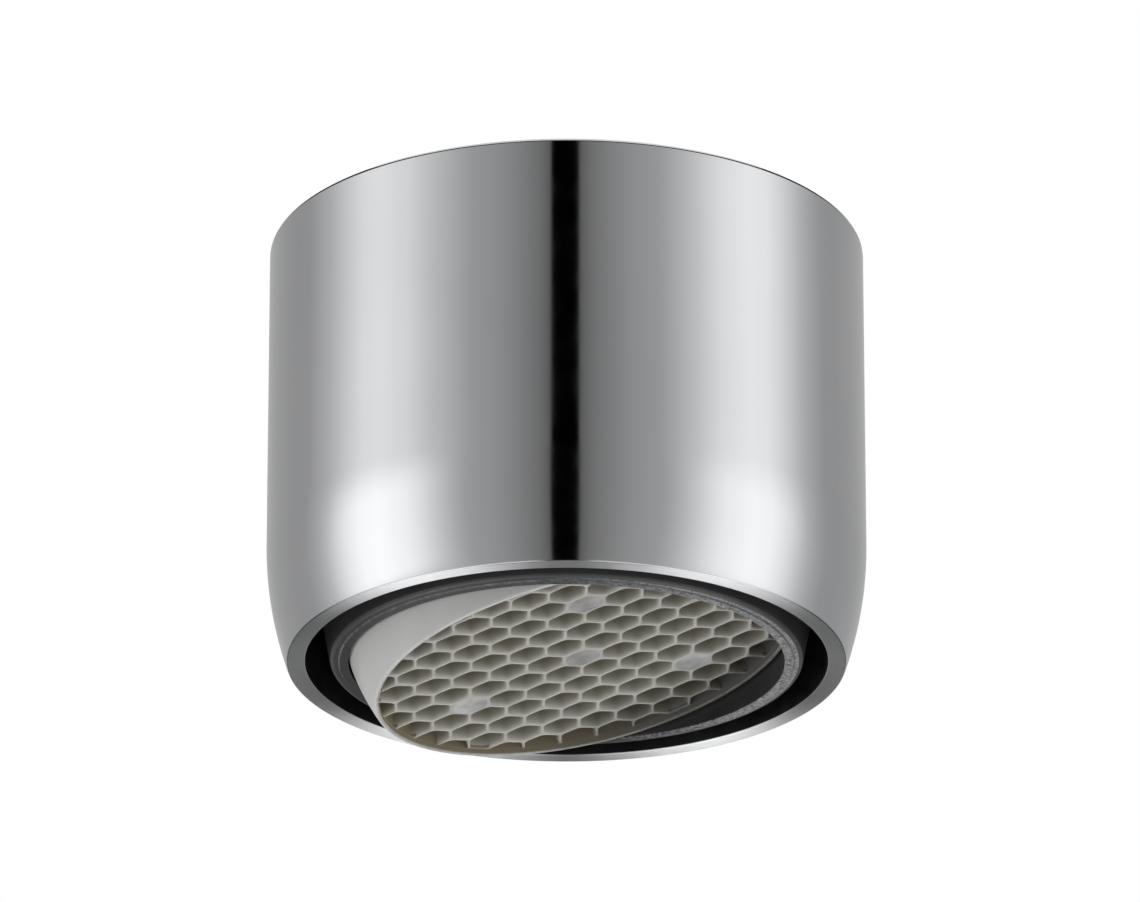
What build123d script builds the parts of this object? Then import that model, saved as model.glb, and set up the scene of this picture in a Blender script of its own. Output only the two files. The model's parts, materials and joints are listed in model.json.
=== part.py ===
# Jet regulator for a tap spout: a chrome-plated sleeve with a spout thread at the top,
# and inside it a plastic insert whose honeycomb outlet tilts in a ball socket.
# Millimetres, +Z up. The origin is the centre of the spout seat, which is the upper
# face of the sealing washer at the lower end of the thread.
import os
from math import asin, cos, degrees, hypot, radians, sin, sqrt

from build123d import *

os.makedirs("parts", exist_ok=True)

# Spout thread, M22 x 1 female: the bore is at the root, and the ridges stand in from it
thread_radius = 11.0
thread_height = 0.54
thread_depth = 6.0
mouth_chamfer = 0.5
undercut = 0.2

# Sleeve of plated brass
thread_wall = 1.0
rim_break = 0.15
seat_to_foot = 11.6
foot_width = 0.73
curve_height = 5.0
ledge_thickness = 0.8
air_gap = 0.42

# Sealing washer
washer_thickness = 1.5
washer_width = 2.7
washer_clearance = 0.3

# Ball joint between the socket and the outlet cup
ball_height = 3.2
ball_clearance = 0.1
outlet_tilt = 12.7

# Socket that carries the ball from below
socket_wall = 0.75
socket_clearance = 0.1
lip_width = 0.79
lip_break = 0.08
flange_thickness = 1.0
flange_clearance = 0.11
flange_lap = 0.25
flange_wall = 0.45
pocket_wall = 0.55

# Air windows through the socket and the splitter's skirt
window_count = 8
window_width = 3.6
window_drop = 0.1
window_sill = 0.35

# Seat ring that bears on the ball from above
ring_seat_height = 1.4
ring_height = 1.8
ring_clearance = 0.05

# Jet splitter
splitter_clearance = 0.05
skirt_wall = 0.5
jet_radius = 0.5
jet_inset = 2.0
jet_row_gap = 2.5
outer_jet_count = 12
inner_jet_count = 6

# Inlet screen, a shallow strainer inside the washer
screen_clearance = 0.1
screen_wall = 0.5
screen_height = 1.3
screen_sheet = 0.4
mesh_hole = 0.8
mesh_pitch = 1.3

# Outlet cup
rim_drop = 0.1
rim_wall = 0.2
rim_recess = 0.25
floor_thickness = 1.8
cup_top_height = 2.6
cup_wall = 0.57
bead_height = 0.15
bead_width = 0.4

# Honeycomb in the cup's floor
cell_pitch = 1.522
cell_wall = 0.14
cell_turn = 11.5
plugged_cells = [(0, 0), (2, -4), (2, 2), (-4, 2)]

# Mixing grids stacked on the honeycomb
grid_height = 1.4
grid_bar_height = 0.7
grid_clearance = 0.05
grid_ring_wall = 0.6
bar_thickness = 0.4
bar_pitch = 1.55

# Levels that follow from the values above
top_z = thread_depth
foot_z = -seat_to_foot
flange_top_z = -washer_thickness
ledge_z = flange_top_z - flange_thickness
ball_z = foot_z + ball_height
ring_seat_z = ball_z + ring_seat_height
ring_top_z = ring_seat_z + ring_height
skirt_z = ring_top_z + ring_clearance
window_top_z = ledge_z - ledge_thickness - window_drop

# Radii, worked inwards from the thread, because the insert has to pass through it
housing_radius = thread_radius + thread_wall
undercut_radius = thread_radius + undercut
washer_radius = undercut_radius - washer_clearance
washer_bore_radius = washer_radius - washer_width
screen_radius = washer_bore_radius - screen_clearance
flange_radius = thread_radius - thread_height - flange_clearance
ledge_radius = flange_radius - flange_lap
socket_radius = ledge_radius - socket_clearance
outlet_bore_radius = socket_radius + air_gap
foot_radius = outlet_bore_radius + foot_width
plate_pocket_radius = flange_radius - flange_wall
ring_pocket_radius = socket_radius - pocket_wall
ring_radius = ring_pocket_radius - ring_clearance
skirt_radius = ring_pocket_radius - splitter_clearance
outer_jet_circle = skirt_radius - skirt_wall - jet_inset
inner_jet_circle = outer_jet_circle - jet_row_gap
socket_sphere = socket_radius - socket_wall
ball_radius = socket_sphere - ball_clearance


def latitude(height, radius):
    """Angle in degrees of a level on a sphere of that radius."""
    return degrees(asin(height / radius))


def level_radius(height, radius):
    """Radius of the circle that a level cuts from a sphere."""
    return sqrt(radius**2 - height**2)


# Cup: its rim lies just below the sleeve's foot when the cup is straight.
rim_depth = ball_height + rim_drop
rim_radius = level_radius(rim_depth, ball_radius)
cup_bore_radius = level_radius(cup_top_height, ball_radius) - cup_wall

# The cup stands tilted in its socket, with the outlet turned towards +X.
tilt_sine = sin(radians(outlet_tilt))
tilt_cosine = cos(radians(outlet_tilt))
cup_plane = Plane(
    origin=(0, 0, ball_z),
    x_dir=(tilt_cosine, 0, tilt_sine),
    z_dir=(-tilt_sine, 0, tilt_cosine),
)
cup_section = Plane(origin=cup_plane.origin, x_dir=cup_plane.x_dir, z_dir=-cup_plane.y_dir)
cup_axis = Axis(cup_plane.origin, cup_plane.z_dir)


def turned_cup_plane(turn):
    """The cup's own plane, turned about the cup's axis."""
    turned_x = cup_plane.x_dir.rotate(cup_axis, turn)
    return Plane(origin=cup_plane.origin, x_dir=turned_x, z_dir=cup_plane.z_dir)


def within(points, radius):
    """The points of a pattern that lie inside a circle."""
    return [point for point in points if hypot(*point) < radius]


# Housing: one turned sleeve. Its side draws in with a long curve to a narrow flat foot,
# and an inner ledge carries the insert.
with BuildPart() as housing:
    with BuildSketch(Plane.XZ):
        with BuildLine():
            TangentArc(
                (housing_radius, foot_z + curve_height),
                (foot_radius, foot_z),
                tangent=(0, -1),
            )
            Polyline(
                (foot_radius, foot_z),
                (outlet_bore_radius, foot_z),
                (outlet_bore_radius, ledge_z - ledge_thickness),
                (ledge_radius, ledge_z - ledge_thickness),
                (ledge_radius, ledge_z),
                (undercut_radius, ledge_z),
                (undercut_radius, 0),
                (thread_radius, 0),
                (thread_radius, top_z - mouth_chamfer),
                (thread_radius + mouth_chamfer, top_z),
                (housing_radius - rim_break, top_z),
                (housing_radius, top_z - rim_break),
                (housing_radius, foot_z + curve_height),
            )
        make_face()
    revolve(axis=Axis.Z)
housing.part.label = "housing"
export_step(housing.part, "parts/housing.step")

# Sealing washer: a flat rubber ring that fills the undercut behind the thread.
with BuildPart() as sealing_washer:
    with BuildSketch(Plane.XY.offset(flange_top_z)):
        Circle(washer_radius)
        Circle(washer_bore_radius, mode=Mode.SUBTRACT)
    extrude(amount=washer_thickness)
sealing_washer.part.label = "sealing_washer"
export_step(sealing_washer.part, "parts/sealing_washer.step")

# Inlet screen: a shallow strainer, open below, with square holes in its flat top.
with BuildPart() as inlet_screen:
    with BuildSketch(Plane.XY.offset(flange_top_z)):
        Circle(screen_radius)
    extrude(amount=screen_height)
    with BuildSketch(Plane.XY.offset(flange_top_z)):
        Circle(screen_radius - screen_wall)
    extrude(amount=screen_height - screen_sheet, mode=Mode.SUBTRACT)
    mesh_span = int(screen_radius / mesh_pitch)
    mesh_points = [
        (mesh_pitch * column, mesh_pitch * row)
        for column in range(-mesh_span, mesh_span + 1)
        for row in range(-mesh_span, mesh_span + 1)
    ]
    with BuildSketch(Plane.XY.offset(flange_top_z + screen_height)):
        with Locations(within(mesh_points, screen_radius - screen_wall - mesh_hole)):
            Rectangle(mesh_hole, mesh_hole)
    extrude(amount=-screen_sheet, mode=Mode.SUBTRACT)
inlet_screen.part.label = "inlet_screen"
export_step(inlet_screen.part, "parts/inlet_screen.step")

# Jet splitter: a plate with rings of fine jets, and a skirt that holds the seat ring down.
# Notches in the skirt let air in under the plate.
with BuildPart() as jet_splitter:
    with BuildSketch(Plane.XY.offset(ledge_z)):
        Circle(plate_pocket_radius - splitter_clearance)
    extrude(amount=flange_thickness)
    with BuildSketch(Plane.XY.offset(skirt_z)):
        Circle(skirt_radius)
        Circle(skirt_radius - skirt_wall, mode=Mode.SUBTRACT)
    extrude(amount=ledge_z - skirt_z)
    with BuildSketch(Plane.XY.offset(skirt_z)):
        with PolarLocations(skirt_radius, window_count):
            Rectangle(3 * skirt_wall, window_width)
    extrude(amount=window_top_z - skirt_z, mode=Mode.SUBTRACT)
    with BuildSketch(Plane.XY.offset(ledge_z)):
        with PolarLocations(outer_jet_circle, outer_jet_count):
            Circle(jet_radius)
        with PolarLocations(inner_jet_circle, inner_jet_count):
            Circle(jet_radius)
    extrude(amount=flange_thickness, mode=Mode.SUBTRACT)
jet_splitter.part.label = "jet_splitter"
export_step(jet_splitter.part, "parts/jet_splitter.step")

# Ball socket: one moulding that hangs from the ledge by its flange. Below the ball's
# middle it closes in to a spherical seat, and its lower lip shows at the outlet.
seat_angle = latitude(ball_height, socket_sphere)
seat_edge_radius = level_radius(ball_height, socket_sphere)
lip_radius = seat_edge_radius + lip_width
with BuildPart() as ball_socket:
    with BuildSketch(Plane.XZ):
        with BuildLine():
            Polyline(
                (seat_edge_radius, foot_z),
                (lip_radius - lip_break, foot_z),
                (lip_radius, foot_z + lip_break),
                (socket_radius, ball_z),
                (socket_radius, ledge_z),
                (flange_radius, ledge_z),
                (flange_radius, flange_top_z),
                (plate_pocket_radius, flange_top_z),
                (plate_pocket_radius, ledge_z),
                (ring_pocket_radius, ledge_z),
                (ring_pocket_radius, ring_seat_z),
                (socket_sphere, ring_seat_z),
                (socket_sphere, ball_z),
            )
            CenterArc((0, ball_z), socket_sphere, 0, -seat_angle)
        make_face()
    revolve(axis=Axis.Z)
    with BuildSketch(Plane.XY.offset(skirt_z + window_sill)):
        with PolarLocations(socket_radius, window_count):
            Rectangle(3 * pocket_wall, window_width)
    extrude(amount=window_top_z - skirt_z - window_sill, mode=Mode.SUBTRACT)
ball_socket.part.label = "ball_socket"
export_step(ball_socket.part, "parts/ball_socket.step")

# Seat ring: a soft ring with a hollow spherical face that bears on the ball from above.
low_angle = latitude(ring_seat_height, socket_sphere)
high_angle = latitude(ring_seat_height + ring_height, socket_sphere)
with BuildPart() as seat_ring:
    with BuildSketch(Plane.XZ):
        with BuildLine():
            CenterArc((0, ball_z), socket_sphere, low_angle, high_angle - low_angle)
            Polyline(
                (level_radius(ring_seat_height + ring_height, socket_sphere), ring_top_z),
                (ring_radius, ring_top_z),
                (ring_radius, ring_seat_z),
                (level_radius(ring_seat_height, socket_sphere), ring_seat_z),
            )
        make_face()
    revolve(axis=Axis.Z)
seat_ring.part.label = "seat_ring"
export_step(seat_ring.part, "parts/seat_ring.step")

# Outlet cup: one moulding with a spherical wall, a thin rim and a honeycomb floor.
# A snap bead inside its mouth holds the mixing grids.
face_height = rim_recess - rim_depth
floor_height = face_height + floor_thickness
bead_height_mid = floor_height + 2 * grid_height + bead_width / 2
rim_angle = latitude(rim_depth, ball_radius)
top_angle = latitude(cup_top_height, ball_radius)
with BuildPart() as outlet_cup:
    with BuildSketch(cup_section):
        with BuildLine():
            CenterArc((0, 0), ball_radius, -rim_angle, rim_angle + top_angle)
            Polyline(
                (level_radius(cup_top_height, ball_radius), cup_top_height),
                (cup_bore_radius, cup_top_height),
                (cup_bore_radius, bead_height_mid + bead_width / 2),
                (cup_bore_radius - bead_height, bead_height_mid),
                (cup_bore_radius, bead_height_mid - bead_width / 2),
                (cup_bore_radius, floor_height),
                (0, floor_height),
                (0, face_height),
                (rim_radius - rim_wall, face_height),
                (rim_radius - rim_wall, -rim_depth),
                (rim_radius, -rim_depth),
            )
        make_face()
    revolve(axis=cup_axis)
    row_pitch = cell_pitch * sqrt(3) / 2
    cell_span = int(2 * cup_bore_radius / row_pitch)
    cell_points = [
        (cell_pitch * (column + row / 2), row_pitch * row)
        for row in range(-cell_span, cell_span + 1)
        for column in range(-cell_span, cell_span + 1)
        if (column, row) not in plugged_cells
    ]
    with BuildSketch(turned_cup_plane(cell_turn).offset(face_height)):
        with Locations(within(cell_points, cup_bore_radius + cell_pitch / 4)):
            RegularPolygon((cell_pitch - cell_wall) / 2, 6, major_radius=False, rotation=30)
        Circle(cup_bore_radius, mode=Mode.INTERSECT)
    extrude(amount=floor_thickness, mode=Mode.SUBTRACT)
outlet_cup.part.label = "outlet_cup"
export_step(outlet_cup.part, "parts/outlet_cup.step")


def build_mixing_grid(name, level, turn):
    """A ring crossed by parallel bars, which fits the cup's bore at that level."""
    grid_plane = turned_cup_plane(turn).offset(level)
    grid_radius = cup_bore_radius - grid_clearance
    opening_radius = grid_radius - grid_ring_wall
    bar_span = int(opening_radius / bar_pitch)
    with BuildPart() as grid:
        with BuildSketch(grid_plane):
            Circle(grid_radius)
            Circle(opening_radius, mode=Mode.SUBTRACT)
        extrude(amount=grid_height)
        with BuildSketch(grid_plane.offset(grid_height)):
            with GridLocations(bar_pitch, 1, 2 * bar_span + 1, 1):
                Rectangle(bar_thickness, 2 * grid_radius)
            Circle(grid_radius - grid_ring_wall / 2, mode=Mode.INTERSECT)
        extrude(amount=-grid_bar_height)
    grid.part.label = name
    export_step(grid.part, f"parts/{name}.step")


# Mixing grids: two like mouldings, one on the other with their bars crossed.
build_mixing_grid("mixing_grid_lower", floor_height, 0)
build_mixing_grid("mixing_grid_upper", floor_height + grid_height, 90)
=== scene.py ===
import json
import math

import bmesh
import bpy
from mathutils import Matrix, Vector
from mathutils.geometry import delaunay_2d_cdt


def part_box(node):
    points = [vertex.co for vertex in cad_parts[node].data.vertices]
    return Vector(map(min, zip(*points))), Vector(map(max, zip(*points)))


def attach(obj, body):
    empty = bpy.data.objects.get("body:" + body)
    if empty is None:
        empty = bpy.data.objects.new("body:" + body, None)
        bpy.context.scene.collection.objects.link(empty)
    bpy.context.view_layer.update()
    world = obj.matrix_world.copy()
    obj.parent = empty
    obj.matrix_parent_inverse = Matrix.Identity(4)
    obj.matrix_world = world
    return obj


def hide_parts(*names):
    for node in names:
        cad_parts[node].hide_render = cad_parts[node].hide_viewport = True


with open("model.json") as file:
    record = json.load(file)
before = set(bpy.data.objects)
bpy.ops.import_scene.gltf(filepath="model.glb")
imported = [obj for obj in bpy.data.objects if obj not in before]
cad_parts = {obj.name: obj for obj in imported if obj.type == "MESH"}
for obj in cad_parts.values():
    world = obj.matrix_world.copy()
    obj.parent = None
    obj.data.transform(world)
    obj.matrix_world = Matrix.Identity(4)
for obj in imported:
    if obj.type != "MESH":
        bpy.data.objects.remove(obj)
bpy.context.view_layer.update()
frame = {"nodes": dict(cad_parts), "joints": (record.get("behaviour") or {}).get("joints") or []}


# Sleeve: one bush turned from brass bar and plated with polished chrome. Its side draws in with a
# long curve to a narrow foot that is faced flat on the lathe. A ledge inside carries the insert,
# and the spout's thread is cut above it.
mm = 0.001
sleeve_low, sleeve_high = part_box("housing")
washer_low, washer_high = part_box("sealing_washer")
socket_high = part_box("ball_socket")[1]
sleeve_radius = sleeve_high.x
sleeve_top = sleeve_high.z
foot_level = sleeve_low.z
seat_level = washer_high.z
flange_top = washer_low.z
flange_radius = socket_high.x
flange_height = 1.0 * mm
ledge_thickness = 0.8 * mm
ledge_width = 0.25 * mm
socket_clearance = 0.1 * mm
air_gap = 0.42 * mm
foot_width = 0.73 * mm
washer_clearance = 0.3 * mm
thread_wall = 1.0 * mm
curve_height = 5.0 * mm
ledge_level = flange_top - flange_height
ledge_underside = ledge_level - ledge_thickness
ledge_radius = flange_radius - ledge_width
socket_radius = ledge_radius - socket_clearance
outlet_bore = socket_radius + air_gap
foot_radius = outlet_bore + foot_width
undercut_radius = washer_high.x + washer_clearance
thread_root = sleeve_radius - thread_wall
curve_start = foot_level + curve_height
mouth_chamfer = 0.5 * mm
thread_pitch = 1.0 * mm
thread_height = 0.53 * mm
thread_fade = 0.7 * mm
# The ridge's half width and flank are shares of the pitch.
ridge_half_width = 0.4375
ridge_flank = 0.3125
foot_edge = 0.05 * mm
top_edge = 0.15 * mm
mouth_edge = 0.06 * mm
thread_edge = 0.08 * mm
ledge_edge = 0.06 * mm
curve_steps = 24
thread_rows = 84
lathe_steps = 192
sharp_angle = math.radians(40)
noise_span = (0.3, 0.7)
polished, faced, bored, shaded_bore = range(4)


def soften(corners, steps=4):
    """Rounds each (radius, height, cut, finish) corner of a closed outline by its cut."""
    outline = []
    for index, (radius, height, cut, finish) in enumerate(corners):
        corner = Vector((radius, height))
        if cut == 0:
            outline.append((radius, height, finish))
            continue
        before = Vector(corners[index - 1][:2])
        after = Vector(corners[(index + 1) % len(corners)][:2])
        start = corner + (before - corner).normalized() * cut
        end = corner + (after - corner).normalized() * cut
        for step in range(steps + 1):
            share = step / steps
            point = start.lerp(corner, share).lerp(corner.lerp(end, share), share)
            outline.append((point.x, point.y, finish))
    return outline


def turn_on_lathe(name, outline, finishes, relief=None):
    """A ring turned about the sleeve's axis from a closed outline of (radius, height, finish)."""
    points = []
    for radius, height, _ in outline:
        for step in range(lathe_steps):
            angle = 2 * math.pi * step / lathe_steps
            reach = radius - relief(angle, radius, height) if relief else radius
            points.append((reach * math.cos(angle), reach * math.sin(angle), height))
    faces = []
    marks = []
    for row, (_, _, finish) in enumerate(outline):
        low = row * lathe_steps
        high = (row + 1) % len(outline) * lathe_steps
        for step in range(lathe_steps):
            beside = (step + 1) % lathe_steps
            faces.append((low + step, low + beside, high + beside, high + step))
            marks.append(finish)
    mesh = bpy.data.meshes.new(name)
    mesh.from_pydata(points, [], faces)
    mesh.polygons.foreach_set("material_index", marks)
    return finish_piece(name, mesh, finishes)


def finish_piece(name, mesh, finishes):
    """Puts a mesh in the scene with its finishes, smooth over soft edges and flat on flat faces."""
    mesh.shade_smooth()
    mesh.set_sharp_from_angle(angle=sharp_angle)
    for finish in finishes:
        mesh.materials.append(finish)
    piece = bpy.data.objects.new(name, mesh)
    bpy.context.scene.collection.objects.link(piece)
    flatten = piece.modifiers.new("flat_faces", "WEIGHTED_NORMAL")
    flatten.keep_sharp = True
    return piece


def thread_relief(angle, radius, height):
    """How far the thread's ridge stands in from its root, at a point of the bore."""
    if radius != thread_root:
        return 0.0
    turn = (height / thread_pitch - angle / (2 * math.pi)) % 1.0
    flank = (ridge_half_width - abs(turn - 0.5)) / ridge_flank
    room = min(height - seat_level, sleeve_top - mouth_chamfer - height) / thread_fade
    return thread_height * max(0.0, min(1.0, flank)) * max(0.0, min(1.0, room))


def new_finish(name):
    """A new material, with its node tree and its shader."""
    finish = bpy.data.materials.new(name)
    finish.use_nodes = True
    return finish, finish.node_tree, finish.node_tree.nodes["Principled BSDF"]


def add_noise(tree, scale, detail=3.0, stretch=(1, 1, 1)):
    """Noise in the object's own metres, with that many grains to the metre."""
    place = tree.nodes.new("ShaderNodeTexCoord")
    mapping = tree.nodes.new("ShaderNodeMapping")
    mapping.inputs["Scale"].default_value = stretch
    noise = tree.nodes.new("ShaderNodeTexNoise")
    noise.inputs["Scale"].default_value = scale
    noise.inputs["Detail"].default_value = detail
    tree.links.new(place.outputs["Object"], mapping.inputs["Vector"])
    tree.links.new(mapping.outputs["Vector"], noise.inputs["Vector"])
    return noise.outputs["Fac"]


def spread(tree, source, low, high, span=noise_span, slope="LINEAR"):
    """Turns a noise, or a place, into a level between two values."""
    level = tree.nodes.new("ShaderNodeMapRange")
    level.interpolation_type = slope
    level.inputs["From Min"].default_value = span[0]
    level.inputs["From Max"].default_value = span[1]
    level.inputs["To Min"].default_value = low
    level.inputs["To Max"].default_value = high
    tree.links.new(source, level.inputs["Value"])
    return level.outputs["Result"]


def roughen(tree, source, shader, low, high):
    """Makes a surface smoother or rougher by a noise."""
    tree.links.new(spread(tree, source, low, high), shader.inputs["Roughness"])


def tint(tree, source, shader, dark, light):
    """Colours a surface by a noise, between two colours."""
    ramp = tree.nodes.new("ShaderNodeValToRGB")
    for stop, position, colour in zip(ramp.color_ramp.elements, noise_span, (dark, light)):
        stop.position = position
        stop.color = (*colour, 1)
    tree.links.new(source, ramp.inputs["Fac"])
    tree.links.new(ramp.outputs["Color"], shader.inputs["Base Color"])


def emboss(tree, source, shader, height):
    """Raises a surface by a noise, to that height in metres."""
    bump = tree.nodes.new("ShaderNodeBump")
    bump.inputs["Strength"].default_value = 1.0
    bump.inputs["Distance"].default_value = height
    tree.links.new(source, bump.inputs["Height"])
    tree.links.new(bump.outputs["Normal"], shader.inputs["Normal"])


chrome, tree, shader = new_finish("polished_chrome")
shader.inputs["Metallic"].default_value = 1.0
tint(tree, add_noise(tree, 120), shader, (0.585, 0.592, 0.603), (0.612, 0.618, 0.628))
roughen(tree, add_noise(tree, 900), shader, 0.055, 0.085)
emboss(tree, add_noise(tree, 300, 2.0, (1, 1, 9)), shader, 0.0003 * mm)

faced_chrome, tree, shader = new_finish("faced_chrome")
shader.inputs["Metallic"].default_value = 1.0
shader.inputs["Anisotropic"].default_value = 1.0
shader.inputs["Anisotropic Rotation"].default_value = 0.25
tint(tree, add_noise(tree, 500), shader, (0.9, 0.915, 0.925), (0.96, 0.97, 0.98))
roughen(tree, add_noise(tree, 2500), shader, 0.35, 0.38)
grooves = tree.nodes.new("ShaderNodeTangent")
grooves.direction_type = "RADIAL"
grooves.axis = "Z"
tree.links.new(grooves.outputs["Tangent"], shader.inputs["Tangent"])

bored_chrome, tree, shader = new_finish("bored_chrome")
shader.inputs["Metallic"].default_value = 1.0
tint(tree, add_noise(tree, 400), shader, (0.46, 0.46, 0.45), (0.55, 0.55, 0.54))
roughen(tree, add_noise(tree, 1500), shader, 0.25, 0.38)
emboss(tree, add_noise(tree, 700, 2.0, (1, 1, 12)), shader, 0.002 * mm)

# Painted shade: the outlet bore under the ledge is made near black, for the shadow in the gap round
# the socket.
bore_painted_shade, tree, shader = new_finish("bore_painted_shade")
shader.inputs["Metallic"].default_value = 1.0
tint(tree, add_noise(tree, 400), shader, (0.07, 0.07, 0.07), (0.11, 0.11, 0.11))
roughen(tree, add_noise(tree, 1500), shader, 0.35, 0.5)

curve_inset = sleeve_radius - foot_radius
curve_radius = (curve_height**2 + curve_inset**2) / (2 * curve_inset)
curve_sweep = math.asin(curve_height / curve_radius)
corners = [
    (outlet_bore, foot_level, foot_edge, faced),
    (foot_radius, foot_level, foot_edge, polished),
]
for step in range(2, curve_steps + 1):
    sweep = curve_sweep * (1 - step / curve_steps)
    radius = sleeve_radius - curve_radius * (1 - math.cos(sweep))
    corners.append((radius, curve_start - curve_radius * math.sin(sweep), 0, polished))
corners += [
    (sleeve_radius, sleeve_top, top_edge, polished),
    (thread_root + mouth_chamfer, sleeve_top, mouth_edge, bored),
    (thread_root, sleeve_top - mouth_chamfer, 0, bored),
]
thread_step = (sleeve_top - mouth_chamfer - seat_level) / thread_rows
for row in range(thread_rows - 1, 0, -1):
    corners.append((thread_root, seat_level + thread_step * row, 0, bored))
corners += [
    (thread_root, seat_level, thread_edge, bored),
    (undercut_radius, seat_level, 0, bored),
    (undercut_radius, ledge_level, 0, bored),
    (ledge_radius, ledge_level, ledge_edge, bored),
    (ledge_radius, ledge_underside, ledge_edge, shaded_bore),
    (outlet_bore, ledge_underside, 0, shaded_bore),
]
sleeve = turn_on_lathe(
    "sleeve", soften(corners), [chrome, faced_chrome, bored_chrome, bore_painted_shade], thread_relief
)
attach(sleeve, "sleeve")
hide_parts("housing")


# Sealing washer: a flat ring cut from black rubber sheet, which drops in behind the thread and
# seals against the end of the spout.
washer_width = 2.7 * mm
washer_bore = washer_high.x - washer_width
washer_edge = 0.12 * mm

rubber, tree, shader = new_finish("washer_rubber")
tint(tree, add_noise(tree, 700), shader, (0.014, 0.014, 0.015), (0.028, 0.028, 0.029))
roughen(tree, add_noise(tree, 2200), shader, 0.5, 0.66)
emboss(tree, add_noise(tree, 5000), shader, 0.006 * mm)

corners = [
    (washer_bore, washer_low.z, washer_edge, 0),
    (washer_high.x, washer_low.z, washer_edge, 0),
    (washer_high.x, washer_high.z, washer_edge, 0),
    (washer_bore, washer_high.z, washer_edge, 0),
]
washer = turn_on_lathe("washer", soften(corners), [rubber])
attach(washer, "sleeve")
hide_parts("sealing_washer")


# Inlet screen: a shallow strainer moulded in pale plastic, which keeps grit out of the jets.
# It lies loose inside the washer.
def dress_node(name, finish):
    """Gives a piece of the frame its finish."""
    piece = frame["nodes"][name]
    piece.data.materials.clear()
    piece.data.materials.append(finish)


screen_plastic, tree, shader = new_finish("screen_plastic")
tint(tree, add_noise(tree, 600), shader, (0.58, 0.59, 0.56), (0.66, 0.67, 0.64))
roughen(tree, add_noise(tree, 1800), shader, 0.36, 0.5)
emboss(tree, add_noise(tree, 6000), shader, 0.003 * mm)
dress_node("inlet_screen", screen_plastic)


# Jet splitter: a moulded plate with rings of fine jets. Its notched skirt holds the seat ring
# down and lets air in under the plate. It drops into the top of the socket.
insert_plastic, tree, shader = new_finish("insert_plastic")
tint(tree, add_noise(tree, 500), shader, (0.5, 0.5, 0.47), (0.58, 0.58, 0.55))
roughen(tree, add_noise(tree, 1600), shader, 0.38, 0.52)
emboss(tree, add_noise(tree, 6000), shader, 0.003 * mm)
dress_node("jet_splitter", insert_plastic)


# Ball socket: one dark grey moulding that hangs from the sleeve's ledge by its flange. Below the
# ball's middle it closes in to a spherical seat, and its spark-eroded lip shows at the outlet.
tilt_joint = frame["joints"][1]
ball_centre = Vector(tilt_joint["pos_m"])
ring_low, ring_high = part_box("seat_ring")
socket_wall = 0.75 * mm
lip_width = 0.74 * mm
land_width = 0.36 * mm
lip_step = 0.06 * mm
ring_clearance = 0.05 * mm
flange_wall = 0.45 * mm
window_count = 8
window_width = 3.6 * mm
window_depth = 2 * mm
window_sill = 0.4 * mm
window_head = 0.1 * mm
socket_sphere = socket_radius - socket_wall
ball_drop = ball_centre.z - foot_level
seat_edge = math.sqrt(socket_sphere**2 - ball_drop**2)
lip_radius = seat_edge + lip_width
land_radius = seat_edge + land_width
pocket_radius = ring_high.x + ring_clearance
plate_pocket = flange_radius - flange_wall
window_low = ring_high.z + window_sill
window_high = ledge_underside - window_head
land_edge = 0.05 * mm
lip_edge = 0.15 * mm
belly_edge = 0.5 * mm
flange_edge = 0.08 * mm
pocket_edge = 0.06 * mm
ring_seat_edge = 0.04 * mm
seat_steps = 12
tilt_side = (1, 0, 0)
painted_light_span = (-3 * mm, 6 * mm)
smooth_face, eroded_face, painted_highlight_step = range(3)


def along(tree, direction):
    """How far a point lies along a direction, in the object's own metres."""
    place = tree.nodes.new("ShaderNodeTexCoord")
    product = tree.nodes.new("ShaderNodeVectorMath")
    product.operation = "DOT_PRODUCT"
    product.inputs[1].default_value = direction
    tree.links.new(place.outputs["Object"], product.inputs[0])
    return product.outputs["Value"]


def calculate(tree, operation, *values):
    """A sum in a finish's nodes, from sockets and plain numbers."""
    step = tree.nodes.new("ShaderNodeMath")
    step.operation = operation
    for socket_in, value in zip(step.inputs, values):
        if isinstance(value, (int, float)):
            socket_in.default_value = value
        else:
            tree.links.new(value, socket_in)
    return step.outputs["Value"]


socket_plastic, tree, shader = new_finish("socket_plastic")
tint(tree, add_noise(tree, 600), shader, (0.042, 0.042, 0.043), (0.058, 0.058, 0.06))
roughen(tree, add_noise(tree, 1500), shader, 0.3, 0.42)
emboss(tree, add_noise(tree, 5000), shader, 0.003 * mm)

# Painted highlight: the step on the lip has a lighter, glossier tint than the socket, so that it
# shows as a light line.
step_painted_highlight, tree, shader = new_finish("step_painted_highlight")
tint(tree, add_noise(tree, 2500, 4.0), shader, (0.075, 0.075, 0.077), (0.17, 0.17, 0.174))
roughen(tree, add_noise(tree, 1500), shader, 0.22, 0.34)
emboss(tree, add_noise(tree, 5000), shader, 0.004 * mm)

eroded_and_painted_light, tree, shader = new_finish("eroded_and_painted_light")
# Painted light: the lip's eroded speckle is lighter towards +X and darker towards -X, where the cup
# shades the lip.
painted_light_share = spread(tree, along(tree, tilt_side), 0.35, 1.0, painted_light_span)
speckle = calculate(tree, "MULTIPLY", painted_light_share, add_noise(tree, 9000, 4.0))
tint(tree, speckle, shader, (0.036, 0.036, 0.038), (0.46, 0.463, 0.47))
roughen(tree, add_noise(tree, 3000), shader, 0.36, 0.5)
emboss(tree, speckle, shader, 0.015 * mm)

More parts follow.
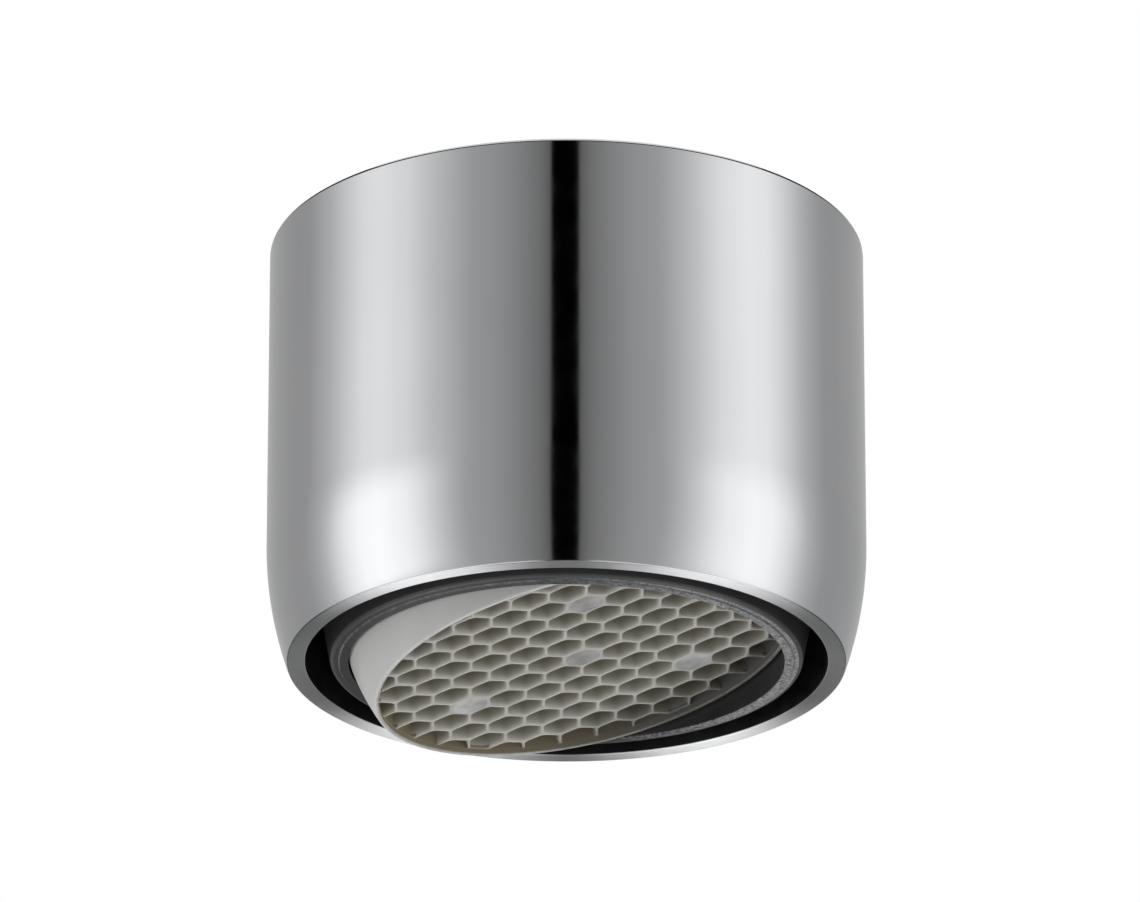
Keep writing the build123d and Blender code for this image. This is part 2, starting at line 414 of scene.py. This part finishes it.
corners = [
    (seat_edge, foot_level, land_edge, eroded_face),
    (land_radius, foot_level, 0, painted_highlight_step),
    (land_radius + lip_step, foot_level + lip_step, 0, eroded_face),
    (lip_radius, foot_level + lip_step, lip_edge, smooth_face),
    (socket_radius, ball_centre.z, belly_edge, smooth_face),
    (socket_radius, ledge_level, 0, smooth_face),
    (flange_radius, ledge_level, flange_edge, smooth_face),
    (flange_radius, flange_top, flange_edge, smooth_face),
    (plate_pocket, flange_top, flange_edge, smooth_face),
    (plate_pocket, ledge_level, 0, smooth_face),
    (pocket_radius, ledge_level, pocket_edge, smooth_face),
    (pocket_radius, ring_low.z, 0, smooth_face),
    (socket_sphere, ring_low.z, ring_seat_edge, smooth_face),
    (socket_sphere, ball_centre.z, 0, smooth_face),
]
seat_sweep = math.asin(ball_drop / socket_sphere)
for step in range(1, seat_steps):
    sweep = seat_sweep * step / seat_steps
    radius = socket_sphere * math.cos(sweep)
    corners.append((radius, ball_centre.z - socket_sphere * math.sin(sweep), 0, smooth_face))
socket = turn_on_lathe("socket", soften(corners), [socket_plastic, eroded_and_painted_light, step_painted_highlight])

window_blocks = bmesh.new()
for window in range(window_count):
    turn = Matrix.Rotation(2 * math.pi * window / window_count, 4, "Z")
    place = Matrix.Translation((socket_radius, 0, (window_low + window_high) / 2))
    size = Matrix.Diagonal((window_depth, window_width, window_high - window_low, 1))
    bmesh.ops.create_cube(window_blocks, size=1, matrix=turn @ place @ size)
window_mesh = bpy.data.meshes.new("window_blocks")
window_blocks.to_mesh(window_mesh)
window_blocks.free()
window_cutter = bpy.data.objects.new("window_cutter", window_mesh)
bpy.context.scene.collection.objects.link(window_cutter)
socket.modifiers.clear()
cut = socket.modifiers.new("windows", "BOOLEAN")
cut.operation = "DIFFERENCE"
cut.object = window_cutter
bpy.context.view_layer.update()
cut_mesh = bpy.data.meshes.new_from_object(
    socket.evaluated_get(bpy.context.evaluated_depsgraph_get())
)
bpy.data.objects.remove(socket)
bpy.data.objects.remove(window_cutter)
socket = finish_piece("socket", cut_mesh, [])
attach(socket, "sleeve")
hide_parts("ball_socket")


# Seat ring: a soft moulded ring that bears on the ball from above, so that the cup stays at the
# angle it is set to. The splitter's skirt holds it down.
seat_rubber, tree, shader = new_finish("seat_rubber")
tint(tree, add_noise(tree, 700), shader, (0.1, 0.1, 0.1), (0.15, 0.15, 0.15))
roughen(tree, add_noise(tree, 2200), shader, 0.5, 0.66)
emboss(tree, add_noise(tree, 5000), shader, 0.005 * mm)
dress_node("seat_ring", seat_rubber)


# Outlet cup: one moulding in warm light grey plastic, with a spherical wall, a thin rim and a
# honeycomb floor. Four cells of the honeycomb are filled. It snaps into the socket as a ball.
# At rest the cup stands at its stop, half of the joint's range away from straight.
outlet_tilt = math.radians(-tilt_joint["range_deg"][0] / 2)
ball_clearance = 0.1 * mm
rim_drop = 0.1 * mm
rim_wall = 0.16 * mm
face_inset = 0.25 * mm
floor_thickness = 1.8 * mm
cup_top = 2.6 * mm
cup_wall = 0.57 * mm
bead_rise = 3.0 * mm
bead_height = 0.15 * mm
bead_width = 0.4 * mm
ball_radius = socket_sphere - ball_clearance
rim_level = -(ball_drop + rim_drop)
rim_radius = math.sqrt(ball_radius**2 - rim_level**2)
face_level = rim_level + face_inset
floor_level = face_level + floor_thickness
cup_top_radius = math.sqrt(ball_radius**2 - cup_top**2)
cup_bore = cup_top_radius - cup_wall
bead_level = floor_level + bead_rise
rim_inner_edge = 0.06 * mm
rim_outer_edge = 0.07 * mm
mouth_round = 0.06 * mm
bead_round = 0.05 * mm
sphere_steps = 40
cell_pitch = 1.522 * mm
cell_wall = 0.115 * mm
cell_turn = math.radians(11.5)
cell_draft = 0.035 * mm
cell_corner = 0.23 * mm
plug_corner = 0.38 * mm
cell_edge = 0.04 * mm
edge_depth = 0.14 * mm
cell_gap = 0.01 * mm
plug_swell = 0.03 * mm
plug_slope = cell_pitch / 4
part_cell = cell_pitch / 4
edge_steps = 4
clip_degrees = 8
sheet_inside_only = 1
sheet_tolerance = 1e-7
plugged_cells = [(0, 0), (2, -4), (2, 2), (-4, 2)]
# Painted shade on the cup's far side: its direction, its span and how dark it gets.
painted_shade_direction = (0.375, 0.927, 0)
painted_shade_span = (5.5 * mm, 7.7 * mm)
painted_shade_tint = (0.46, 0.45, 0.42)
frost_lift_span = (-4.5 * mm, -1 * mm)
shaded_depth = 0.7 * mm
# The cells' colour by depth from the face: painted shade, darker and browner deeper in the cells,
# after a painted lighter band just inside the edge.
painted_cell_shades = [
    (0.0, (0.49, 0.484, 0.45)),
    (0.1, (0.69, 0.684, 0.645)),
    (0.38, (0.49, 0.478, 0.42)),
    (0.65, (0.385, 0.368, 0.3)),
    (1.0, (0.33, 0.311, 0.236)),
]
# The places of the colour sockets on a mix node.
colour_in, painted_shade_in, colour_out = 6, 7, 2
moulded, frosted, inside_cell, rim_edge, inside_rim = range(5)


def fill_ramp(ramp, colours):
    """Sets a ramp's stops from a list of (place, colour)."""
    stops = ramp.color_ramp.elements
    stops.remove(stops[1])
    for index, (position, colour) in enumerate(colours):
        stop = stops[0] if index == 0 else stops.new(position)
        stop.position = position
        stop.color = (*colour, 1)


def shade_far_side_painted(tree, shader):
    """Darkens a finish towards the rim's far side: painted shade, where it sits up in the socket.
    """
    share = spread(tree, along(tree, painted_shade_direction), 0.0, 1.0, painted_shade_span)
    unshaded = shader.inputs["Base Color"].links[0].from_socket
    shade_mix = tree.nodes.new("ShaderNodeMix")
    shade_mix.data_type = "RGBA"
    shade_mix.blend_type = "MULTIPLY"
    shade_mix.inputs[painted_shade_in].default_value = (*painted_shade_tint, 1)
    tree.links.new(share, shade_mix.inputs["Factor"])
    tree.links.new(unshaded, shade_mix.inputs[colour_in])
    tree.links.new(shade_mix.outputs[colour_out], shader.inputs["Base Color"])


def glow_through(shader):
    """Lets light into a thin-walled plastic, and out again near by."""
    shader.inputs["Subsurface Weight"].default_value = 1.0
    shader.inputs["Subsurface Radius"].default_value = (1.0, 0.97, 0.92)
    shader.inputs["Subsurface Scale"].default_value = 0.18 * mm


cup_plastic, tree, shader = new_finish("cup_plastic")
glow_through(shader)
tint(tree, add_noise(tree, 500), shader, (0.6, 0.598, 0.586), (0.632, 0.63, 0.618))
roughen(tree, add_noise(tree, 1500), shader, 0.38, 0.5)
emboss(tree, add_noise(tree, 5000), shader, 0.003 * mm)

rim_wear_and_painted_shade, tree, shader = new_finish("rim_wear_and_painted_shade")
glow_through(shader)
tint(tree, add_noise(tree, 4000, 4.0), shader, (0.38, 0.377, 0.366), (0.52, 0.516, 0.504))
# Painted shade: the rim's worn bottom is darkened towards the far side.
shade_far_side_painted(tree, shader)
roughen(tree, add_noise(tree, 1500), shader, 0.3, 0.42)
emboss(tree, add_noise(tree, 5000), shader, 0.006 * mm)

cup_frame = Matrix.Translation(ball_centre) @ Matrix.Rotation(-outlet_tilt, 4, "Y")
cup_axis = cup_frame.col[2].to_3d()
face_depth = cup_axis.dot(cup_frame @ Vector((0, 0, face_level)))
shade_span = (face_depth, face_depth + shaded_depth)
cell_plastic, tree, shader = new_finish("cell_plastic")
glow_through(shader)
# Painted shade by depth along the cup's axis.
cell_depth = spread(tree, along(tree, cup_axis), 0.0, 1.0, shade_span)
cell_shades = tree.nodes.new("ShaderNodeValToRGB")
fill_ramp(cell_shades, painted_cell_shades)
tree.links.new(cell_depth, cell_shades.inputs["Fac"])
tree.links.new(cell_shades.outputs["Color"], shader.inputs["Base Color"])
# Painted shade towards the rim's far side as well.
shade_far_side_painted(tree, shader)
roughen(tree, add_noise(tree, 1500), shader, 0.38, 0.5)
emboss(tree, add_noise(tree, 5000), shader, 0.003 * mm)

# Painted shade: the rim's inner wall is tan on the -X side and dark grey on the +X side, where the
# socket shades it.
rim_wall_painted_shade, tree, shader = new_finish("rim_wall_painted_shade")
glow_through(shader)
across = spread(tree, along(tree, tilt_side), 0.0, 1.0, (-rim_radius, rim_radius))
tint(tree, across, shader, (0.33, 0.285, 0.2), (0.16, 0.158, 0.15))
roughen(tree, add_noise(tree, 1500), shader, 0.38, 0.5)
emboss(tree, add_noise(tree, 5000), shader, 0.003 * mm)

frosted_plastic, tree, shader = new_finish("frosted_plastic")
# The frost on the plugs is lighter, by up to half again, towards -X.
frost_lift = spread(tree, along(tree, tilt_side), 1.5, 1.0, frost_lift_span)
haze = calculate(tree, "MULTIPLY", frost_lift, add_noise(tree, 900, 5.0))
tint(tree, haze, shader, (0.245, 0.242, 0.238), (0.56, 0.557, 0.555))
roughen(tree, add_noise(tree, 3000), shader, 0.42, 0.6)
emboss(tree, add_noise(tree, 7000, 4.0), shader, 0.012 * mm)


def clip_to_circle(polygon, radius):
    """The part of a polygon that lies inside a circle about the cup's axis."""
    middle = sum((Vector(point) for point in polygon), Vector((0, 0))) / len(polygon)
    for step in range(-clip_degrees, clip_degrees + 1):
        angle = math.atan2(middle.y, middle.x) + math.radians(step)
        outward = Vector((math.cos(angle), math.sin(angle)))
        kept = []
        for index, point in enumerate(polygon):
            before = polygon[index - 1]
            room = radius - outward.dot(point)
            room_before = radius - outward.dot(before)
            if (room > 0) != (room_before > 0):
                kept.append(before.lerp(point, room_before / (room_before - room)))
            if room > 0:
                kept.append(point)
        polygon = kept
    return polygon


def hexagon(middle, apothem, turn, corner):
    """A hexagon with rounded corners, its flats along the rows of cells."""
    reach = apothem / math.cos(math.radians(30))
    corners = []
    for side in range(6):
        angle = turn + math.radians(30 + 60 * side)
        corners.append((reach * math.cos(angle), reach * math.sin(angle), corner, moulded))
    return [middle + Vector((x, y)) for x, y, _ in soften(corners)]


def lathe_loop(cup, radius, height):
    """A round row of the cup's vertices."""
    loop = []
    for step in range(lathe_steps):
        angle = 2 * math.pi * step / lathe_steps
        loop.append(cup.verts.new((radius * math.cos(angle), radius * math.sin(angle), height)))
    return loop


def flat_loop(cup, polygon, height):
    """A row of the cup's vertices round a polygon."""
    return [cup.verts.new((point.x, point.y, height)) for point in polygon]


def join_loops(cup, first, second, finish):
    """The band of faces between two rows with as many vertices."""
    for index, vertex in enumerate(first):
        face = cup.faces.new((first[index - 1], vertex, second[index], second[index - 1]))
        face.material_index = finish


def scale_about_middle(polygon, growth, limit):
    """A polygon made larger or smaller about its middle, but for points outside a radius."""
    middle = sum(polygon, Vector((0, 0))) / len(polygon)
    reach = max((point - middle).length for point in polygon)
    scaled = []
    for point in polygon:
        free = point.length < limit
        scaled.append(middle + (point - middle) * (1 + growth / reach) if free else point)
    return scaled


def fill_sheet(cup, loops, finish):
    """The flat sheet between an outer row and the rows of the holes in it."""
    vertices = [vertex for loop in loops for vertex in loop]
    owners = [index for index, loop in enumerate(loops) for vertex in loop]
    edges = []
    for loop in loops:
        first = len(edges)
        edges += [(first + index, first + (index + 1) % len(loop)) for index in range(len(loop))]
    places = [vertex.co.to_2d() / mm for vertex in vertices]
    sheet = delaunay_2d_cdt(places, edges, [], sheet_inside_only, sheet_tolerance)
    triangles, origins = sheet[2:4]
    sources = [origin[0] for origin in origins]
    for triangle in triangles:
        corners = [sources[corner] for corner in triangle]
        held = {owners[corner] for corner in corners}
        if len(held) > 1 or 0 in held:
            cup.faces.new([vertices[corner] for corner in corners]).material_index = finish


row_pitch = cell_pitch * math.sqrt(3) / 2
cell_span = int(2 * rim_radius / row_pitch)
opening = (cell_pitch - cell_wall) / 2
cell_reach = rim_radius - rim_wall - cell_gap
cell_lean = (cup_bore - cell_gap) / cell_reach
turn = Matrix.Rotation(cell_turn, 2)
cells = []
plugs = []
for row in range(-cell_span, cell_span + 1):
    for column in range(-cell_span, cell_span + 1):
        middle = turn @ Vector((cell_pitch * (column + row / 2), row_pitch * row))
        if middle.length >= cell_reach + part_cell:
            continue
        plugged = (column, row) in plugged_cells
        cell = hexagon(middle, opening, cell_turn, plug_corner if plugged else cell_corner)
        cells.append(clip_to_circle(cell, cell_reach))
        if plugged:
            plugs.append(len(cells))

cup = bmesh.new()
corners = [
    (rim_radius - rim_wall, face_level, 0, inside_rim),
    (rim_radius - rim_wall, rim_level, rim_inner_edge, rim_edge),
    (rim_radius, rim_level, rim_outer_edge, moulded),
]
rim_sweep = math.asin(rim_level / ball_radius)
top_sweep = math.asin(cup_top / ball_radius)
for step in range(1, sphere_steps):
    sweep = rim_sweep + (top_sweep - rim_sweep) * step / sphere_steps
    corners.append((ball_radius * math.cos(sweep), ball_radius * math.sin(sweep), 0, moulded))
corners += [
    (cup_top_radius, cup_top, mouth_round, moulded),
    (cup_bore, cup_top, mouth_round, moulded),
    (cup_bore, bead_level + bead_width / 2, 0, moulded),
    (cup_bore - bead_height, bead_level, bead_round, moulded),
    (cup_bore, bead_level - bead_width / 2, 0, moulded),
    (cup_bore, floor_level, 0, moulded),
]
outline = soften(corners)
wall_loops = [lathe_loop(cup, radius, height) for radius, height, _ in outline]
for row, (first, second) in enumerate(zip(wall_loops, wall_loops[1:])):
    join_loops(cup, first, second, outline[row][2])

face_loops = [wall_loops[0]]
floor_loops = [wall_loops[-1]]
for number, cell in enumerate(cells, 1):
    if number in plugs:
        outer = flat_loop(cup, cell, face_level)
        shrunk = scale_about_middle(cell, -plug_slope, cell_reach)
        inner = flat_loop(cup, shrunk, face_level - plug_swell)
        join_loops(cup, outer, inner, frosted)
        cup.faces.new(inner).material_index = frosted
        face_loops.append(outer)
        continue
    rounds = []
    for step in range(edge_steps + 1):
        lean = math.radians(90 * step / edge_steps)
        grown = scale_about_middle(cell, cell_edge * (1 - math.sin(lean)), cell_reach - cell_gap)
        rounds.append(flat_loop(cup, grown, face_level + edge_depth * (1 - math.cos(lean))))
    narrowed = scale_about_middle(cell, -cell_draft, cell_reach - cell_gap)
    rounds.append(flat_loop(cup, [point * cell_lean for point in narrowed], floor_level))
    for first, second in zip(rounds, rounds[1:]):
        join_loops(cup, first, second, inside_cell)
    face_loops.append(rounds[0])
    floor_loops.append(rounds[-1])
for face in cup.faces:
    nearest = min(vertex.co.to_2d().length for vertex in face.verts)
    if face.material_index == inside_cell and nearest > cup_bore - 2 * cell_gap:
        face.material_index = inside_rim
fill_sheet(cup, face_loops, inside_cell)
fill_sheet(cup, floor_loops, moulded)
bmesh.ops.recalc_face_normals(cup, faces=cup.faces)
cup.transform(cup_frame)
cup_mesh = bpy.data.meshes.new("cup")
cup.to_mesh(cup_mesh)
cup.free()
cup_finishes = [cup_plastic, frosted_plastic, cell_plastic, rim_wear_and_painted_shade, rim_wall_painted_shade]
outlet = finish_piece("cup", cup_mesh, cup_finishes)
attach(outlet, "outlet")
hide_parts("outlet_cup")


# Mixing grids: two like mouldings, each a ring crossed by bars. They lie crossed on the
# honeycomb's floor under the cup's snap bead, and break up the jets so that they take in air.
dress_node("mixing_grid_lower", insert_plastic)
dress_node("mixing_grid_upper", insert_plastic)


# Studio: the object hangs, as on a spout, in a tent of lit cloth that is open at the top. Its side
# panels are the brightest, with a narrow dark slot before and behind the object, and the ground at
# the back is lit on both sides of it. The hem round the opening is dark. Floor and room are white.
camera_azimuth = math.radians(10)
camera_elevation = math.radians(-22.2)
camera_distance = 0.4
camera_lens = 314.5
aim_height = -2.8 * mm
aim_right = 0.14 * mm
aim_up = 0.34 * mm
floor_drop = 0.8
floor_size = 0.4
tent_radius = 2.0
tent_opening = 0.8
slot_turn = Matrix.Rotation(math.radians(-0.5), 3, "Z")

right = Vector((math.cos(camera_azimuth), math.sin(camera_azimuth), 0))
ahead = Vector((math.sin(camera_azimuth), -math.cos(camera_azimuth), 0))
back = ahead * math.cos(camera_elevation) + Vector((0, 0, math.sin(camera_elevation)))
up = back.cross(right)
aim = Vector((0, 0, aim_height)) + right * aim_right + up * aim_up
camera_data = bpy.data.cameras.new("camera")
camera_data.lens = camera_lens
camera_data.sensor_width = 36
camera_data.clip_start = 0.01
camera = bpy.data.objects.new("camera", camera_data)
camera_turn = Matrix((right, up, back)).transposed().to_4x4()
camera.matrix_world = Matrix.Translation(aim + back * camera_distance) @ camera_turn
bpy.context.scene.collection.objects.link(camera)
bpy.context.scene.camera = camera

room = bpy.data.worlds.new("white_room")
room.use_nodes = True
room.node_tree.nodes["Background"].inputs["Color"].default_value = (1, 1, 1, 1)
bpy.context.scene.world = room

lit_cloth, cloth_tree, shader = new_finish("lit_cloth")
cloth_tree.nodes.remove(shader)


def share_along(direction):
    """How far a place on the cloth lies along a direction, as a share of the tent's radius."""
    return along(cloth_tree, direction / tent_radius)


def between(value, span, low=0.0, high=1.0):
    """A soft step on the cloth from one level to another."""
    return spread(cloth_tree, value, low, high, span, "SMOOTHSTEP")


def add(first, second):
    """The sum of two levels on the cloth."""
    return calculate(cloth_tree, "ADD", first, second)


def multiply(first, *others):
    """The product of levels on the cloth."""
    for other in others:
        first = calculate(cloth_tree, "MULTIPLY", first, other)
    return first


def blend(share, first, second):
    """Goes from one level to another by a share."""
    spare = calculate(cloth_tree, "SUBTRACT", 1.0, share)
    return add(multiply(first, spare), multiply(second, share))


rise = share_along(Vector((0, 0, 1)))
rightward = share_along(right)
sideways = calculate(cloth_tree, "ABSOLUTE", share_along(slot_turn @ right))
bearing = calculate(cloth_tree, "ARCTAN2", sideways, share_along(slot_turn @ ahead))
turned = calculate(cloth_tree, "DIVIDE", bearing, math.pi)

# The side panels: their light by the angle from the camera, in degrees, and its lift at middle
# height. The spans here and below are shares of the tent's radius, or of a half turn.
panel_levels = [
    (0, 0.0),
    (4.9, 0.0),
    (5.8, 0.17),
    (10, 0.25),
    (25, 0.42),
    (36, 0.5),
    (52, 0.79),
    (63, 1.04),
    (75, 1.17),
    (84, 1.12),
    (103, 0.65),
    (117, 0.44),
    (127, 0.42),
    (180, 0.5),
]
brightest = 2.0
panel_front = (0.2, 0.33)
panel_rear = (0.62, 0.5)
panel_head = (0.4, 0.18)
panel_foot = (-0.42, -0.12)
left_to_right = (-0.3, 0.3)
left_lift, right_lift = 0.38, 0.2
right_extra = 0.1
panel_hem = (-0.4, -0.62)
hem_level = 0.6
panels = cloth_tree.nodes.new("ShaderNodeValToRGB")
fill_ramp(panels, [(degrees / 180, [level / brightest] * 3) for degrees, level in panel_levels])
cloth_tree.links.new(turned, panels.inputs["Fac"])
on_panel = multiply(between(turned, panel_front), between(turned, panel_rear))
panel_middle = multiply(between(rise, panel_head), between(rise, panel_foot))
middle_lift = multiply(panel_middle, between(rightward, left_to_right, left_lift, right_lift))
lift = multiply(on_panel, add(middle_lift, between(rightward, left_to_right, 0.0, right_extra)))
hung_light = multiply(panels.outputs["Color"], brightest, between(rise, panel_hem, 1.0, hem_level))
side_light = multiply(hung_light, add(lift, 1.0))

# The cloth at the back, dimmed low down and parted by the rear slot.
back_span = (0.6, 0.72)
back_hem = (-0.15, -0.33)
back_level = 0.25
back_slot = (0.03, 0.1)
back_slot_level = 0.15
behind = between(turned, back_span)
back_light = blend(multiply(behind, between(rise, back_hem)), 1.0, back_level)
back_gap = blend(behind, 1.0, between(sideways, back_slot, back_slot_level, 1.0))
standing_light = multiply(side_light, back_light, back_gap)

# The ground, lit at the back on both sides of the slot.
ground_span = (-0.54, -0.83)
ground_level = 0.8
ground_slot = (0.04, 0.14)
slot_level = 0.05
lit_depth = (-0.05, 0.25)
lit_inner = (0.12, 0.25)
lit_outer = (0.62, 0.42)
lit_level = 1.85
lit_sides = multiply(between(sideways, lit_inner), between(sideways, lit_outer))
lit_ground = multiply(between(share_along(slot_turn @ -ahead), lit_depth), lit_sides, lit_level)
ground_gap = between(sideways, ground_slot, slot_level, 1.0)
ground_light = multiply(add(lit_ground, ground_level), ground_gap)
with_ground = blend(between(rise, ground_span), standing_light, ground_light)

# The low cloth in front, parted by the front slot, and the dark hem round the opening.
front_span = (0.45, 0.2)
front_hem = (-0.36, -0.5)
front_slot = (0.08, 0.22)
front_level = 0.85
top_hem = (0.46, 0.56)
top_hem_level = 0.03
in_front = multiply(between(turned, front_span), between(rise, front_hem))
front_light = between(sideways, front_slot, slot_level, front_level)
with_front = blend(in_front, with_ground, front_light)
studio_light = blend(between(rise, top_hem), with_front, top_hem_level)

glow = cloth_tree.nodes.new("ShaderNodeEmission")
cloth_surface = cloth_tree.nodes["Material Output"].inputs["Surface"]
cloth_tree.links.new(studio_light, glow.inputs["Color"])
cloth_tree.links.new(glow.outputs["Emission"], cloth_surface)
cloth = bmesh.new()
bmesh.ops.create_uvsphere(cloth, u_segments=96, v_segments=48, radius=tent_radius)
above = [vertex for vertex in cloth.verts if vertex.co.z > tent_opening * tent_radius]
bmesh.ops.delete(cloth, geom=above)
tent_mesh = bpy.data.meshes.new("tent")
cloth.to_mesh(tent_mesh)
cloth.free()
tent_mesh.materials.append(lit_cloth)
tent = bpy.data.objects.new("tent", tent_mesh)
tent.visible_camera = False
bpy.context.scene.collection.objects.link(tent)

floor_finish, tree, shader = new_finish("pale_floor")
tint(tree, add_noise(tree, 3), shader, (0.78, 0.78, 0.78), (0.8, 0.8, 0.8))
shader.inputs["Roughness"].default_value = 0.9
bright = tree.nodes.new("ShaderNodeEmission")
seen = tree.nodes.new("ShaderNodeLightPath").outputs
seen_white = calculate(tree, "MAXIMUM", seen["Is Camera Ray"], seen["Is Glossy Ray"])
seen_white = calculate(tree, "MAXIMUM", seen_white, seen["Is Transmission Ray"])
floor_choice = tree.nodes.new("ShaderNodeMixShader")
tree.links.new(seen_white, floor_choice.inputs["Fac"])
tree.links.new(shader.outputs["BSDF"], floor_choice.inputs[1])
tree.links.new(bright.outputs["Emission"], floor_choice.inputs[2])
tree.links.new(floor_choice.outputs["Shader"], tree.nodes["Material Output"].inputs["Surface"])
floor_mesh = bpy.data.meshes.new("floor")
reach = floor_size / 2
floor_mesh.from_pydata(
    [(-reach, -reach, 0), (reach, -reach, 0), (reach, reach, 0), (-reach, reach, 0)],
    [],
    [(0, 1, 2, 3)],
)
floor_mesh.materials.append(floor_finish)
floor = bpy.data.objects.new("floor", floor_mesh)
floor.location.z = -floor_drop
bpy.context.scene.collection.objects.link(floor)

bpy.context.scene.view_settings.view_transform = "Standard"
